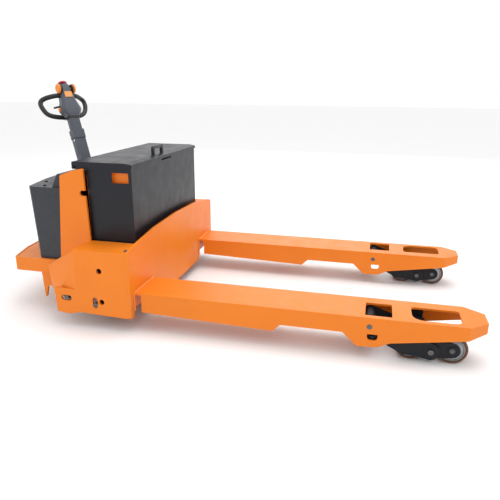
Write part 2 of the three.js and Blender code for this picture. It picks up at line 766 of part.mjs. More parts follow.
for (const [hand, side] of Object.entries(sides)) {
  add(`side_panel_${hand}`, sidePanel(side), orange);
  add(`tie_pin_${hand}`, barY(tiePin.x, tiePin.z, 12.5, side * 566, side * 628), steel);
  add(`fork_${hand}`, fork(side), orange);
  add(`lever_pin_${hand}`, barY(leverPin.x, leverPin.z, 12.5, side * (forkInner + 2), side * (forkOuter - 1)), steel);
  add(`push_rod_${hand}`, pushRod(side), darkSteel);
  add(`roller_lever_${hand}`, rollerLever(side), darkSteel);
  add(`bogie_${hand}`, bogie(side), darkSteel);
  for (const [end, x] of [["rear", rearRollerX], ["front", frontRollerX]]) {
    add(`roller_tread_${end}_${hand}`, rollerTread(x, side), amber);
    add(`roller_hub_${end}_${hand}`, rollerHub(x, side), steel);
  }
  add(`lift_cylinder_${hand}`, liftCylinder(side), darkSteel);
  add(`lift_ram_${hand}`, liftRam(side), steel);
  add(`caster_fork_${hand}`, casterFork(side), darkSteel);
  add(`caster_wheel_${hand}`, casterWheel(side), black);
}

add("steer_post", steered(steerPost()), darkSteel);
add("drive_motor", steered(driveMotor()), darkSteel);
add("gearbox", steered(gearbox()), darkSteel);
add("drive_tyre", steered(driveTyre()), black);
add("drive_hub", steered(driveHub()), steel);

add("lower_arm", tiller(lowerArm()), tillerGrey);
add("arm_pin", tiller(armPin()), steel);
add("upper_arm", tiller(upperArm()), tillerGrey);
add("neck_collar", tiller(neckCollar()), black);
add("head_housing", tiller(headHousing()), tillerGrey);
add("head_plate", tiller(headPlate()), orange);
add("grip_loop", tiller(gripLoop(loopRadius)), black);
add("belly_button", tiller(bellyButton()), red);
add("knob_right", tiller(knob(sides.right)), orange);
add("knob_left", tiller(knob(sides.left)), orange);
add("thumb_button_right", tiller(thumbButton(sides.right)), orange);
add("thumb_button_left", tiller(thumbButton(sides.left)), orange);

export default group;
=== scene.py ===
# Looks of the powered pallet truck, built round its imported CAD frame.
# Metres, +Z up, +X towards the fork tips.

import json
import math

import bmesh
import bpy
from mathutils import Matrix, Vector


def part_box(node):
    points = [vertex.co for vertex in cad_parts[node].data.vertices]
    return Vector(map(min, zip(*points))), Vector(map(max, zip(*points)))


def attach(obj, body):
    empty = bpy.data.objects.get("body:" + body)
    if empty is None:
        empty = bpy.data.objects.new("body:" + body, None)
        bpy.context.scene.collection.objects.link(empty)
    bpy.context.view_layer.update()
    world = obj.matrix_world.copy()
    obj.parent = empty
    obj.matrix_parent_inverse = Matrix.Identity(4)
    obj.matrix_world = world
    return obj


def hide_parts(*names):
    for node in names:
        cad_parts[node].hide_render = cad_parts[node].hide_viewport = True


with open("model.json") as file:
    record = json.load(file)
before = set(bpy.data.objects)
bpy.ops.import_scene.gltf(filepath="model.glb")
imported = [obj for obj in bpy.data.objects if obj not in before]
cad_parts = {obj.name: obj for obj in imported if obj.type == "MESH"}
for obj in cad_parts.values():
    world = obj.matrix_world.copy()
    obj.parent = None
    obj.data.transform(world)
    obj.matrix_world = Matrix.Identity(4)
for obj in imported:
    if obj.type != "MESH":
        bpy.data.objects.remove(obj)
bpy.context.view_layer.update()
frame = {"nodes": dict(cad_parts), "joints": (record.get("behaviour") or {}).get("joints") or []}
nodes = frame["nodes"]
joints = {joint["name"]: joint for joint in frame["joints"]}
hands = {"right": -1, "left": 1}


# ---- places read from the frame ------------------------------------------
def low(node):
    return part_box(node)[0]


def high(node):
    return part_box(node)[1]


def middle(node):
    return (low(node) + high(node)) / 2


def outer_y(node, side):
    """The node's farthest y on one side of the truck."""
    return high(node).y if side > 0 else low(node).y


FACE_X = high("front_plate").x          # the carriage's front face
FORK_TOP = high("fork_right").z
PANEL_Y = high("side_panel_left").y
SHELF_Z = 0.410                         # the side panel's shelf
COVER_STEP = 0.067                      # from the cover's crown down to its flat top
COVER_SCREWS = ((-0.560, 0.405), (-0.622, 0.300))   # x from the carriage's face, |y|
PANEL_HOLES = ((-0.157, 0.311), (-0.155, 0.150))    # x from the carriage's face, z
WINDOW_REAR = 1.308                     # rear edge of a roller window, from the carriage's face
PLATE = 0.0105                          # fork top down to just under its plate
AXLE_STANDS_OUT = 0.0117                # from a hub's face to the end of its axle
SUNK = 0.0005                           # a pin's end starts this far inside the CAD pin
FIT = 0.0002                            # gap between a tread and its hub
TYRE_INSET = 0.001                      # a load roller's tread stops this far inside its hub's faces
KNURLS = 30                             # ribs round a throttle knob


# ---- camera --------------------------------------------------------------
def add_camera():
    """The photograph's viewpoint, worked out from the truck's parallel edges."""
    azimuth = math.radians(13.657)
    pitch = math.radians(17.766)
    roll = math.radians(0.317)
    viewpoint = (FACE_X + 1.0964, -2.7061, 1.1650)
    forward = Vector((-math.sin(azimuth) * math.cos(pitch), math.cos(azimuth) * math.cos(pitch),
                      -math.sin(pitch)))
    level = Vector((math.cos(azimuth), math.sin(azimuth), 0))
    up = level.cross(forward)
    right = math.cos(roll) * level + math.sin(roll) * up
    upright = right.cross(forward)
    data = bpy.data.cameras.new("camera")
    data.lens = 36.85
    data.sensor_width = 36
    camera = bpy.data.objects.new("camera", data)
    turn = Matrix((right, upright, -forward)).transposed().to_4x4()
    camera.matrix_world = Matrix.Translation(viewpoint) @ turn
    bpy.context.scene.collection.objects.link(camera)
    bpy.context.scene.camera = camera


# ---- material helpers ----------------------------------------------------
class Shader:
    """A Principled material with a short way to add and link nodes."""

    def __init__(self, name):
        self.material = bpy.data.materials.new(name)
        self.material.use_nodes = True
        self.tree = self.material.node_tree
        self.bsdf = self.tree.nodes["Principled BSDF"]
        self.place = self.node("ShaderNodeTexCoord").outputs["Object"]

    def node(self, kind, **settings):
        made = self.tree.nodes.new(kind)
        for key, value in settings.items():
            setattr(made, key, value)
        return made

    def link(self, output, target):
        self.tree.links.new(output, target)

    def set(self, **values):
        for key, value in values.items():
            self.bsdf.inputs[key.replace("_", " ")].default_value = value

    def noise(self, scale, detail=2.0, roughness=0.5, stretch=(1, 1, 1)):
        mapping = self.node("ShaderNodeMapping")
        mapping.inputs["Scale"].default_value = stretch
        self.link(self.place, mapping.inputs["Vector"])
        noise = self.node("ShaderNodeTexNoise")
        noise.inputs["Scale"].default_value = scale
        noise.inputs["Detail"].default_value = detail
        noise.inputs["Roughness"].default_value = roughness
        self.link(mapping.outputs["Vector"], noise.inputs["Vector"])
        return noise.outputs["Fac"]

    def ramp(self, value, low_at, high_at, low_out=0.0, high_out=1.0):
        ramp = self.node("ShaderNodeMapRange")
        ramp.inputs["From Min"].default_value = low_at
        ramp.inputs["From Max"].default_value = high_at
        ramp.inputs["To Min"].default_value = low_out
        ramp.inputs["To Max"].default_value = high_out
        self.link(value, ramp.inputs["Value"])
        return ramp.outputs["Result"]

    def mix(self, factor, first, second):
        """Blends two colours; each is a tuple or another node's output."""
        mix = self.node("ShaderNodeMix", data_type="RGBA")
        self.link(factor, mix.inputs["Factor"])
        color_a, color_b = (socket for socket in mix.inputs if socket.type == "RGBA")
        for value, socket in ((first, color_a), (second, color_b)):
            if isinstance(value, tuple):
                socket.default_value = (*value, 1)
            else:
                self.link(value, socket)
        return next(output for output in mix.outputs if output.type == "RGBA")

    def multiply(self, first, second):
        math_node = self.node("ShaderNodeMath", operation="MULTIPLY")
        self.link(first, math_node.inputs[0])
        self.link(second, math_node.inputs[1])
        return math_node.outputs["Value"]

    def color(self, value):
        self.link(value, self.bsdf.inputs["Base Color"])

    def roughness(self, value):
        self.link(value, self.bsdf.inputs["Roughness"])

    def bump(self, *layers):
        """Each layer is (height, strength, distance in metres)."""
        normal = None
        for height, strength, distance in layers:
            bump = self.node("ShaderNodeBump")
            bump.inputs["Strength"].default_value = strength
            bump.inputs["Distance"].default_value = distance
            self.link(height, bump.inputs["Height"])
            if normal:
                self.link(normal, bump.inputs["Normal"])
            normal = bump.outputs["Normal"]
        self.link(normal, self.bsdf.inputs["Normal"])

    def edges(self, radius, sharp):
        """1 along the outer edges of the shape, 0 on its flats."""
        bevel = self.node("ShaderNodeBevel", samples=4)
        bevel.inputs["Radius"].default_value = radius
        geometry = self.node("ShaderNodeNewGeometry")
        dot = self.node("ShaderNodeVectorMath", operation="DOT_PRODUCT")
        self.link(bevel.outputs["Normal"], dot.inputs[0])
        self.link(geometry.outputs["Normal"], dot.inputs[1])
        return self.ramp(dot.outputs["Value"], 1.0, sharp)


def powder_coat(name, base, edge_highlight, roughness, peel):
    """Painted steel: orange peel, faint cloudy colour, a painted highlight along the edges in random
    patches.
    """
    shader = Shader(name)
    cloud = shader.ramp(shader.noise(3.0, 4.0, 0.6), 0.35, 0.7)
    tone = tuple(channel * 0.93 for channel in base)
    clouded = shader.mix(cloud, tone, base)
    patches = shader.ramp(shader.noise(60, 3.0), 0.45, 0.65, 0, 0.55)
    # Painted highlight: the edges get a lighter colour, broken into random patches.
    edge_highlight_mask = shader.multiply(shader.edges(0.0022, 0.9), patches)
    shader.color(shader.mix(edge_highlight_mask, clouded, edge_highlight))
    shader.roughness(shader.ramp(shader.noise(14, 3.0), 0.3, 0.7, roughness - 0.05, roughness + 0.07))
    shader.bump((shader.noise(420, 1.0), peel, 0.0004), (shader.noise(26, 2.0), 0.12, 0.0012))
    shader.set(Specular_IOR_Level=0.32)
    return shader.material


def moulded_plastic(name, base, roughness, grain, scale=900):
    """Injection-moulded plastic with a fine spark-eroded grain."""
    shader = Shader(name)
    tone = tuple(channel * 0.8 for channel in base)
    shader.color(shader.mix(shader.ramp(shader.noise(9, 3.0), 0.35, 0.7), tone, base))
    shader.roughness(shader.ramp(shader.noise(35, 2.0), 0.3, 0.7, roughness - 0.06, roughness + 0.08))
    shader.bump((shader.noise(scale, 2.0), grain, 0.0003))
    return shader.material


def machined_steel(name, base, roughness):
    """Turned or drawn steel: fine lines one way, slight stains."""
    shader = Shader(name)
    stain = shader.ramp(shader.noise(22, 4.0), 0.4, 0.75)
    dull = tuple(channel * 0.62 for channel in base)
    shader.color(shader.mix(stain, base, dull))
    lines = shader.noise(240, 3.0, 0.6, (1, 12, 1))
    shader.roughness(shader.ramp(lines, 0.3, 0.7, roughness - 0.08, roughness + 0.12))
    shader.bump((lines, 0.25, 0.0002))
    shader.set(Metallic=1.0)
    return shader.material


def cast_iron(name, base):
    """Painted casting: coarse sand texture under a dull black coat."""
    shader = Shader(name)
    tone = tuple(channel * 1.5 for channel in base)
    shader.color(shader.mix(shader.ramp(shader.noise(40, 4.0), 0.4, 0.7), base, tone))
    shader.roughness(shader.ramp(shader.noise(18, 3.0), 0.3, 0.7, 0.42, 0.6))
    shader.bump((shader.noise(300, 3.0), 0.3, 0.0006))
    shader.set(Specular_IOR_Level=0.28)
    return shader.material


def polyurethane(name, base, scuffed):
    """Cast polyurethane tread: amber and slightly clear, scuffed round the running face."""
    shader = Shader(name)
    streak = shader.ramp(shader.noise(34, 4.0, 0.6, (1, 7, 1)), 0.42, 0.68)
    shader.color(shader.mix(streak, base, scuffed))
    shader.roughness(shader.ramp(streak, 0, 1, 0.24, 0.5))
    shader.bump((shader.noise(160, 3.0, 0.6, (1, 5, 1)), 0.2, 0.0004))
    shader.set(Subsurface_Weight=0.15, Subsurface_Radius=(0.006, 0.003, 0.001), Coat_Weight=0.25)
    return shader.material


def weld_metal(name, base):
    """Painted weld bead."""
    shader = Shader(name)
    light = tuple(min(1.0, channel * 1.12) for channel in base)
    shader.color(shader.mix(shader.noise(90, 2.0), base, light))
    shader.roughness(shader.ramp(shader.noise(50, 2.0), 0.3, 0.7, 0.28, 0.42))
    shader.bump((shader.noise(260, 2.0), 0.4, 0.0006))
    shader.set(Coat_Weight=0.4, Coat_Roughness=0.14)
    return shader.material


# Linear colours: each coat and its painted edge highlight; the tread and where it is scuffed.
ORANGE, ORANGE_EDGE_HIGHLIGHT = (0.82, 0.212, 0.010), (0.95, 0.40, 0.10)
CHARCOAL, CHARCOAL_EDGE_HIGHLIGHT = (0.009, 0.010, 0.015), (0.060, 0.062, 0.072)
GREY, GREY_EDGE_HIGHLIGHT = (0.075, 0.081, 0.102), (0.20, 0.21, 0.23)
AMBER, AMBER_SCUFFED = (0.15, 0.052, 0.015), (0.065, 0.032, 0.016)
materials = {
    "orange_paint": powder_coat("orange_paint", ORANGE, ORANGE_EDGE_HIGHLIGHT, 0.40, 0.10),
    "orange_weld": weld_metal("orange_weld", (0.86, 0.25, 0.02)),
    "charcoal_paint": powder_coat("charcoal_paint", CHARCOAL, CHARCOAL_EDGE_HIGHLIGHT, 0.36, 0.16),
    "cover_plastic": moulded_plastic("cover_plastic", (0.022, 0.025, 0.033), 0.44, 0.14, 700),
    "tiller_grey": powder_coat("tiller_grey", GREY, GREY_EDGE_HIGHLIGHT, 0.42, 0.14),
    "black_plastic": moulded_plastic("black_plastic", (0.008, 0.009, 0.011), 0.44, 0.3, 800),
    "orange_plastic": moulded_plastic("orange_plastic", (0.88, 0.27, 0.025), 0.36, 0.08),
    "panel_plastic": moulded_plastic("panel_plastic", (0.90, 0.36, 0.08), 0.40, 0.06),
    "red_plastic": moulded_plastic("red_plastic", (0.48, 0.012, 0.028), 0.32, 0.06),
    "steel": machined_steel("steel", (0.34, 0.34, 0.35), 0.34),
    "pin_steel": machined_steel("pin_steel", (0.16, 0.155, 0.15), 0.46),
    "bright_steel": machined_steel("bright_steel", (0.72, 0.72, 0.72), 0.24),
    "dark_steel": cast_iron("dark_steel", (0.006, 0.007, 0.010)),
    "cast": cast_iron("cast", (0.030, 0.031, 0.035)),
    "polyurethane": polyurethane("polyurethane", AMBER, AMBER_SCUFFED),
}


# ---- mesh helpers --------------------------------------------------------
def piece(name, bm, material, body, *replaced, slot=None):
    """A shown piece from a finished bmesh, riding on a CAD body."""
    data = bpy.data.meshes.new(name)
    bmesh.ops.recalc_face_normals(bm, faces=bm.faces)
    bm.to_mesh(data)
    bm.free()
    made = bpy.data.objects.new(name, data)
    bpy.context.scene.collection.objects.link(made)
    data.materials.append(materials[material])
    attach(made, body)
    if replaced:
        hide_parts(*replaced)
    return made


def smooth(obj, bevel=0.0, dissolve=False):
    """Rounds the sharp edges, keeps the flats flat and the curves smooth."""
    if "custom_normal" in obj.data.attributes:
        obj.data.attributes.remove(obj.data.attributes["custom_normal"])
    obj.data.shade_smooth()
    if dissolve:
        flat = obj.modifiers.new("flat", "DECIMATE")
        flat.decimate_type = "DISSOLVE"
        flat.angle_limit = math.radians(0.6)
    if bevel:
        round_off = obj.modifiers.new("round", "BEVEL")
        round_off.width = bevel
        round_off.segments = 2
        round_off.limit_method = "ANGLE"
        round_off.angle_limit = math.radians(35)
        round_off.harden_normals = True
    weighted = obj.modifiers.new("normals", "WEIGHTED_NORMAL")
    weighted.keep_sharp = True


def dress(node, material, bevel):
    """Gives a carried-over CAD node its material and rounded edges."""
    obj = nodes[node]
    obj.data.materials.clear()
    obj.data.materials.append(materials[material])
    smooth(obj, bevel, dissolve=True)


def turned(bm, centre, axis, profile, steps):
    """Adds a round to bm: its profile (radius, along axis) closes on itself or on the axis."""
    turn = Vector((0, 0, 1)).rotation_difference(Vector(axis)).to_matrix()
    rings = []
    for step in range(steps):
        angle = 2 * math.pi * step / steps
        rings.append([bm.verts.new(Vector(centre) + turn @ Vector(
            (radius * math.cos(angle), radius * math.sin(angle), along))) for radius, along in profile])
    for step, ring in enumerate(rings):
        following = rings[(step + 1) % steps]
        for i in range(len(profile)):
            j = (i + 1) % len(profile)
            bm.faces.new((ring[i], following[i], following[j], ring[j]))
    bmesh.ops.remove_doubles(bm, verts=[v for ring in rings for v in ring], dist=1e-6)
    return bm


def rounded(corners, steps=4):
    """Corner points (u, v, radius) turned into a profile with rounded corners."""
    points = []
    count = len(corners)
    for i, (u, v, radius) in enumerate(corners):
        corner = Vector((u, v))
        if radius == 0:
            points.append((u, v))
            continue
        before = Vector(corners[i - 1][:2]) - corner
        after = Vector(corners[(i + 1) % count][:2]) - corner
        start = corner + before.normalized() * radius
        end = corner + after.normalized() * radius
        for step in range(steps + 1):
            t = step / steps
            point = start.lerp(corner, t).lerp(corner.lerp(end, t), t)
            points.append((point.x, point.y))
    return points


def loft(bm, rings, endless=False):
    """Skins rings of equally many points, capped at both ends or joined from the last to the first."""
    made = [[bm.verts.new(point) for point in ring] for ring in rings]
    followers = made[1:] + made[:1] if endless else made[1:]
    for ring, following in zip(made, followers):
        for i in range(len(ring)):
            j = (i + 1) % len(ring)
            bm.faces.new((ring[i], ring[j], following[j], following[i]))
    if not endless:
        bm.faces.new(list(reversed(made[0])))
        bm.faces.new(made[-1])
    return bm


def tube(bm, points, radius, sides, closed=False, wave=0.0, pitch=0.0075, squash=1.0):
    """A round bar along points; wave and pitch raise ripples, as on a weld bead."""
    points = [Vector(point) for point in points]
    count = len(points)
    rings = []
    travelled = 0.0
    normal = None
    for i, point in enumerate(points):
        ahead = points[(i + 1) % count] if closed or i + 1 < count else point
        behind = points[i - 1] if closed or i > 0 else point
        direction = (ahead - behind).normalized()
        if normal is None:
            normal = direction.orthogonal().normalized()
        normal = (normal - direction * normal.dot(direction)).normalized()
        side = direction.cross(normal)
        if i:
            travelled += (point - points[i - 1]).length
        r = radius * (1 + wave * math.sin(2 * math.pi * travelled / pitch))
        rings.append([point + normal * r * math.cos(a) + side * r * squash * math.sin(a)
                      for a in (2 * math.pi * k / sides for k in range(sides))])
    return loft(bm, rings, closed)


def sheet(corners, y_near, y_far):
    """A flat plate across y from an outline of rounded corners (x, z, radius)."""
    outline = rounded(corners)
    return loft(bmesh.new(), [[(x, y, z) for x, z in outline] for y in (y_near, y_far)])


def spaced(start, end, step):
    """Points on a straight line at about equal steps."""
    start, end = Vector(start), Vector(end)
    count = max(1, round((end - start).length / step))
    return [start.lerp(end, k / count) for k in range(count + 1)]


def weld(bm, start, end, radius):
    """A rippled bead in a straight line."""
    tube(bm, spaced(start, end, 0.0022), radius, 8, wave=0.16)


def washer(bm, place, radius):
    """A flat washer for a head of this radius, lying on a level face; gives back its thickness."""
    inner, outer, thickness = radius * 0.5, radius * 1.42, radius * 0.18
    turned(bm, place, (0, 0, 1), rounded([
        (inner, 0, 0), (outer, 0, 0), (outer, thickness, thickness * 0.4), (inner, thickness, 0)]), 32)
    return thickness


def socket_screw(bm, place, radius, height):
    """An upright socket-head screw on its washer."""
    base = washer(bm, place, radius)
    top = base + height
    floor = top - height * 0.45
    socket = radius * 0.52
    turned(bm, place, (0, 0, 1), rounded([
        (0, base, 0), (radius, base, 0), (radius, top, height * 0.2), (socket, top, 0), (socket, floor, 0),
        (0, floor, 0)]), 24)


def hex_bolt(bm, place, radius, height):
    """An upright hexagon head on its washer, chamfered at the top."""
    base = washer(bm, place, radius)
    across = radius * 1.1
    corners = [(across * math.cos(math.pi / 3 * k), across * math.sin(math.pi / 3 * k)) for k in range(6)]
    levels = [(base, 1.0), (base + height * 0.85, 1.0), (base + height, 0.86)]
    loft(bm, [[Vector(place) + Vector((x * k, y * k, z)) for x, y in corners] for z, k in levels])


def catmull(points, per_span):
    """A smooth closed curve through points."""
    points = [Vector(point) for point in points]
    count = len(points)
    result = []
    for i in range(count):
        p0, p1, p2, p3 = (points[(i + k) % count] for k in (-1, 0, 1, 2))
        for step in range(per_span):
            t = step / per_span
            result.append(0.5 * ((2 * p1) + (p2 - p0) * t + (2 * p0 - 5 * p1 + 4 * p2 - p3) * t * t
                                 + (3 * p1 - p0 - 3 * p2 + p3) * t ** 3))
    return result


# ---- floor and light -----------------------------------------------------
def add_studio():
    """A plain pale floor, an even white surround and three soft lights."""
    bm = bmesh.new()
    bmesh.ops.create_grid(bm, x_segments=1, y_segments=1, size=30)
    data = bpy.data.meshes.new("floor")
    bm.to_mesh(data)
    bm.free()
    floor = bpy.data.objects.new("floor", data)
    bpy.context.scene.collection.objects.link(floor)
    shader = Shader("floor_white")
    shader.color(shader.mix(shader.noise(1.5, 2.0), (0.93, 0.93, 0.93), (0.95, 0.95, 0.95)))
    shader.set(Roughness=0.75, Specular_IOR_Level=0.1)
    data.materials.append(shader.material)

    world = bpy.data.worlds.new("studio")
    world.use_nodes = True
    background = world.node_tree.nodes["Background"]
    background.inputs["Color"].default_value = (1, 1, 1, 1)
    background.inputs["Strength"].default_value = 1.0
    bpy.context.scene.world = world
    bpy.context.scene.view_settings.view_transform = "Standard"
    softbox("key", (-4.2, -2.2, 2.2), (-0.6, -0.3, 0.4), 2.2, 24)
    softbox("top", (0.4, 0.4, 4.0), (0.0, 0.0, 0.2), 3.2, 78)
    softbox("sheen", (0.0, 6.0, 2.6), (0.0, 0.0, 0.4), 4.0, 40)


def softbox(name, place, target, size, power):
    """A square soft light facing its target; size in metres, power in watts."""
    data = bpy.data.lights.new(name, "AREA")
    data.size = size
    data.energy = power
    lamp = bpy.data.objects.new(name, data)
    lamp.location = place
    lamp.rotation_mode = "QUATERNION"
    lamp.rotation_quaternion = (Vector(target) - Vector(place)).to_track_quat("-Z", "Y")
    bpy.context.scene.collection.objects.link(lamp)


# ---- load rollers --------------------------------------------------------
def both_faces(face):
    """One face's profile (radius, along axis) and its mirror image, as a whole wheel."""
    return face + [(radius, -along) for radius, along in reversed(face)]


def roller(end, hand):
    """Polyurethane tread on a turned steel hub with a recessed web and a raised boss."""
    tread, hub = f"roller_tread_{end}_{hand}", f"roller_hub_{end}_{hand}"
    body = f"roller_{end}_{hand}"
    centre = middle(hub)
    half = high(hub).y - centre.y
    radius = high(tread).z - centre.z
    rim = high(hub).z - centre.z
    edge = half - TYRE_INSET
    tread_bm = turned(bmesh.new(), centre, (0, 1, 0), rounded([
        (rim + FIT, -edge, 0), (radius, -edge, 0.006), (radius, edge, 0.006), (rim + FIT, edge, 0)]), 96)
    smooth(piece(tread, tread_bm, "polyurethane", body, tread))
    bore, boss, web = 0.0113, 0.027, 0.005
    face = rounded([
        (rim, -half + 0.001, 0), (rim - 0.006, -half + 0.0005, 0.001), (rim - 0.008, -half + 0.004, 0.002),
        (boss + 0.008, -half + web, 0.004), (boss, -half + 0.001, 0.001), (boss - 0.008, -half, 0.001),
        (boss - 0.008, -half + 0.003, 0), (bore, -half + 0.003, 0)])
    hub_bm = turned(bmesh.new(), centre, (0, 1, 0), both_faces(face), 96)
    smooth(piece(hub, hub_bm, "steel", body, hub))


def pin_end(bm, place, normal, radius, proud):
    """A chamfered round end with a centre dimple."""
    dimple = radius * 0.4
    floor = proud * 0.5
    turned(bm, place, normal, rounded([
        (0, 0, 0), (radius, 0, 0), (radius, proud, proud * 0.3), (dimple, proud, 0),
        (dimple * 0.8, floor, 0), (0, floor, 0)]), 40)


def bogie_detail(hand):
    """Black caps round small steel axle ends, and the pivot pin's ends."""
    body = f"bogie_{hand}"
    hub = f"roller_hub_rear_{hand}"
    line = middle(hub).y
    link_half = high(hub).y - line + AXLE_STANDS_OUT
    cap_inner, cap_outer, cap_proud = 0.0115, 0.021, 0.003
    black, steel = bmesh.new(), bmesh.new()
    for side in hands.values():
        for end in ("rear", "front"):
            axle = Vector(joints[f"roller_{end}_{hand}_spin"]["pos_m"])
            face = Vector((axle.x, line + side * link_half, axle.z))
            turned(black, face, (0, side, 0), rounded([
                (cap_inner, 0, 0), (cap_outer, 0, 0), (cap_outer, cap_proud, 0.001),
                (cap_inner, cap_proud, 0.0006)]), 40)
            pin_end(steel, face, (0, side, 0), 0.0112, 0.0026)
        pivot = Vector(joints[f"bogie_{hand}_pivot"]["pos_m"])
        pin_end(steel, (pivot.x, outer_y(body, side) - side * SUNK, pivot.z), (0, side, 0), 0.0128, 0.003)
    smooth(piece(f"axle_caps_{hand}", black, "dark_steel", body))
    smooth(piece(f"axle_ends_{hand}", steel, "pin_steel", body, slot="steel"))


def window_shade_and_rod_discs(hand, side):
    """A black sheet beside each roller window that stands in for the shade inside it (painted shade), and
    the disc on each push rod's front pin.
    """
    line = joints[f"roller_rear_{hand}_spin"]["pos_m"][1]
    rear = FACE_X + WINDOW_REAR
    top = FORK_TOP - PLATE
    bottom = top - 0.060
    outline = [(rear, top, 0), (rear, bottom, 0.012), (rear + 0.052, bottom, 0.012), (rear + 0.058, top, 0)]
    # Painted shade: a dark sheet set where the window shows only shade.
    shade_sheet = sheet(outline, line - side * 0.090, line - side * 0.085)
    smooth(piece(f"window_shade_sheet_{hand}", shade_sheet, "dark_steel", "carriage"), 0.0008)
    rod, eye = f"push_rod_{hand}", 0.017
    pin, boss, rim = 0.0085, 0.012, 0.034
    disc_at = (high(rod).x - eye, line + side * 0.0785, low(rod).z + eye)
    disc = turned(bmesh.new(), disc_at, (0, side, 0), rounded([
        (pin, 0, 0), (rim, 0, 0), (rim, 0.0024, 0.0008), (boss, 0.0024, 0), (boss, 0.0045, 0.001),
        (pin, 0.0045, 0)]), 48)
    smooth(piece(f"rod_disc_{hand}", disc, "dark_steel", f"roller_lever_{hand}"))


# ---- drive wheel and casters ---------------------------------------------
def drive_wheel():
    """Thick tread on a cast hub with a dished face, turned about the drive axle."""
    spin = joints["drive_wheel_spin"]
    centre, axis = Vector(spin["pos_m"]), Vector(spin["axis"])
    radius, rim, half = centre.z, 0.096, 0.038
    tread = turned(bmesh.new(), centre, axis, rounded([
        (rim + FIT, -half, 0), (radius, -half, 0.008), (radius, half, 0.008), (rim + FIT, half, 0)]), 96)
    smooth(piece("drive_tyre", tread, "polyurethane", "drive_wheel", "drive_tyre"))
    face = rounded([
        (rim, -half, 0), (rim - 0.008, -half, 0.002), (rim - 0.012, -half + 0.006, 0.003),
        (0.060, -half + 0.016, 0.005), (0.044, -half - 0.004, 0.003), (0.0205, -half - 0.004, 0)])
    hub = turned(bmesh.new(), centre, axis, both_faces(face), 96)
    smooth(piece("drive_hub", hub, "cast", "drive_wheel", "drive_hub"))


def caster_wheel(hand):
    """A one-piece caster wheel with a crowned tread and a recessed web."""
    node = f"caster_wheel_{hand}"
    centre = Vector(joints[f"caster_{hand}_spin"]["pos_m"])
    radius = high(node).z - centre.z
    face = rounded([
        (radius, -0.018, 0.006), (0.044, -0.025, 0.004), (0.038, -0.022, 0.002), (0.026, -0.018, 0.003),
        (0.022, -0.025, 0.001), (0.0083, -0.025, 0)])
    bm = turned(bmesh.new(), centre, (0, 1, 0), both_faces(face), 64)
    smooth(piece(node, bm, "polyurethane", node, node))


# ---- cover and carriage details ------------------------------------------
def cover_screws():
    """Socket-head screws that hold the cover down, two on each side of its flat top."""
    bm = bmesh.new()
    top = high("drive_cover").z - COVER_STEP
    for side in hands.values():
        for x, y in COVER_SCREWS:
            socket_screw(bm, (FACE_X + x, side * y, top), 0.0065, 0.004)
    smooth(piece("cover_screws", bm, "black_plastic", "chassis"))


def carriage_welds():
    """Beads where each fork's top and sides meet the front plate."""
    bm = bmesh.new()
    x = FACE_X + 0.0025
    clear = 0.001
    bottom = FORK_TOP - 0.095
    for hand, side in hands.items():
        inner, outer = sorted((low(f"fork_{hand}").y, high(f"fork_{hand}").y), key=abs)
        weld(bm, (x, inner, FORK_TOP + clear), (x, outer, FORK_TOP + clear), 0.0042)
        for y in (outer + side * clear, inner - side * clear):
            weld(bm, (x, y, FORK_TOP), (x, y, bottom), 0.0036)
    smooth(piece("carriage_welds", bm, "orange_weld", "carriage", slot="orange_paint"))


def carriage_bolts():
    """One small hex bolt on each shelf, beside the front plate."""
    bm = bmesh.new()
    for side in hands.values():
        hex_bolt(bm, (FACE_X - 0.028, side * (PANEL_Y - 0.040), SHELF_Z + 0.0003), 0.007, 0.005)
    smooth(piece("shelf_bolts", bm, "steel", "carriage"))


def pins():
    """Chamfered pin ends in the side panels' slots and in the forks."""
    carriage, rocker = bmesh.new(), bmesh.new()
    pivot = Vector(joints["rocker_pivot"]["pos_m"])
    proud = 0.0025
    for hand, side in hands.items():
        outward = (0, side, 0)
        for node in (f"tie_pin_{hand}", f"lever_pin_{hand}"):
            end = Vector((middle(node).x, outer_y(node, side) - side * SUNK, middle(node).z))
            radius = (high(node) - low(node)).z / 2
            pin_end(carriage, end, outward, radius, proud)
        end = Vector((pivot.x, outer_y("rocker_shaft", side) - side * SUNK, pivot.z))
        pin_end(rocker, end, outward, 0.0122, proud)
    smooth(piece("pin_ends", carriage, "pin_steel", "carriage", slot="steel"))
    smooth(piece("rocker_ends", rocker, "pin_steel", "rocker", slot="steel"))


def hole_shade_cups():
    """Blind black cups behind the two round holes in each side panel: painted shade inside the holes."""
    bm = bmesh.new()
    bore, outside, depth, length = 0.0135, 0.018, 0.022, 0.026
    inner_face = PANEL_Y - 0.0124
    for side in hands.values():
        for x, z in PANEL_HOLES:
            # Painted shade: a black cup makes each hole read dark inside.
            turned(bm, (FACE_X + x, side * inner_face, z), (0, -side, 0), rounded([
                (0, depth, 0), (bore, depth, 0), (bore, 0, 0), (outside, 0, 0), (outside, length, 0.002),
                (0, length, 0)]), 32)
    smooth(piece("hole_shade_cups", bm, "black_plastic", "carriage"))


# ---- tiller --------------------------------------------------------------
def tiller_frame():
    """From tiller space (x ahead, y left, z up the arm, from the tilt pin) to the truck's."""
    up = -Vector(joints["reverse_button_press"]["axis"])
    left = Vector(joints["tiller_tilt"]["axis"])
    ahead = left.cross(up)
    basis = Matrix((ahead, left, up)).transposed().to_4x4()
    return Matrix.Translation(Vector(joints["tiller_tilt"]["pos_m"])) @ basis


TILLER = tiller_frame()


def on_tiller(x, y, z):
    """A point given in tiller space."""
    return TILLER @ Vector((x, y, z))


def along_tiller(x, y, z):
    """A direction given in tiller space."""
    return (TILLER.to_3x3() @ Vector((x, y, z))).normalized()


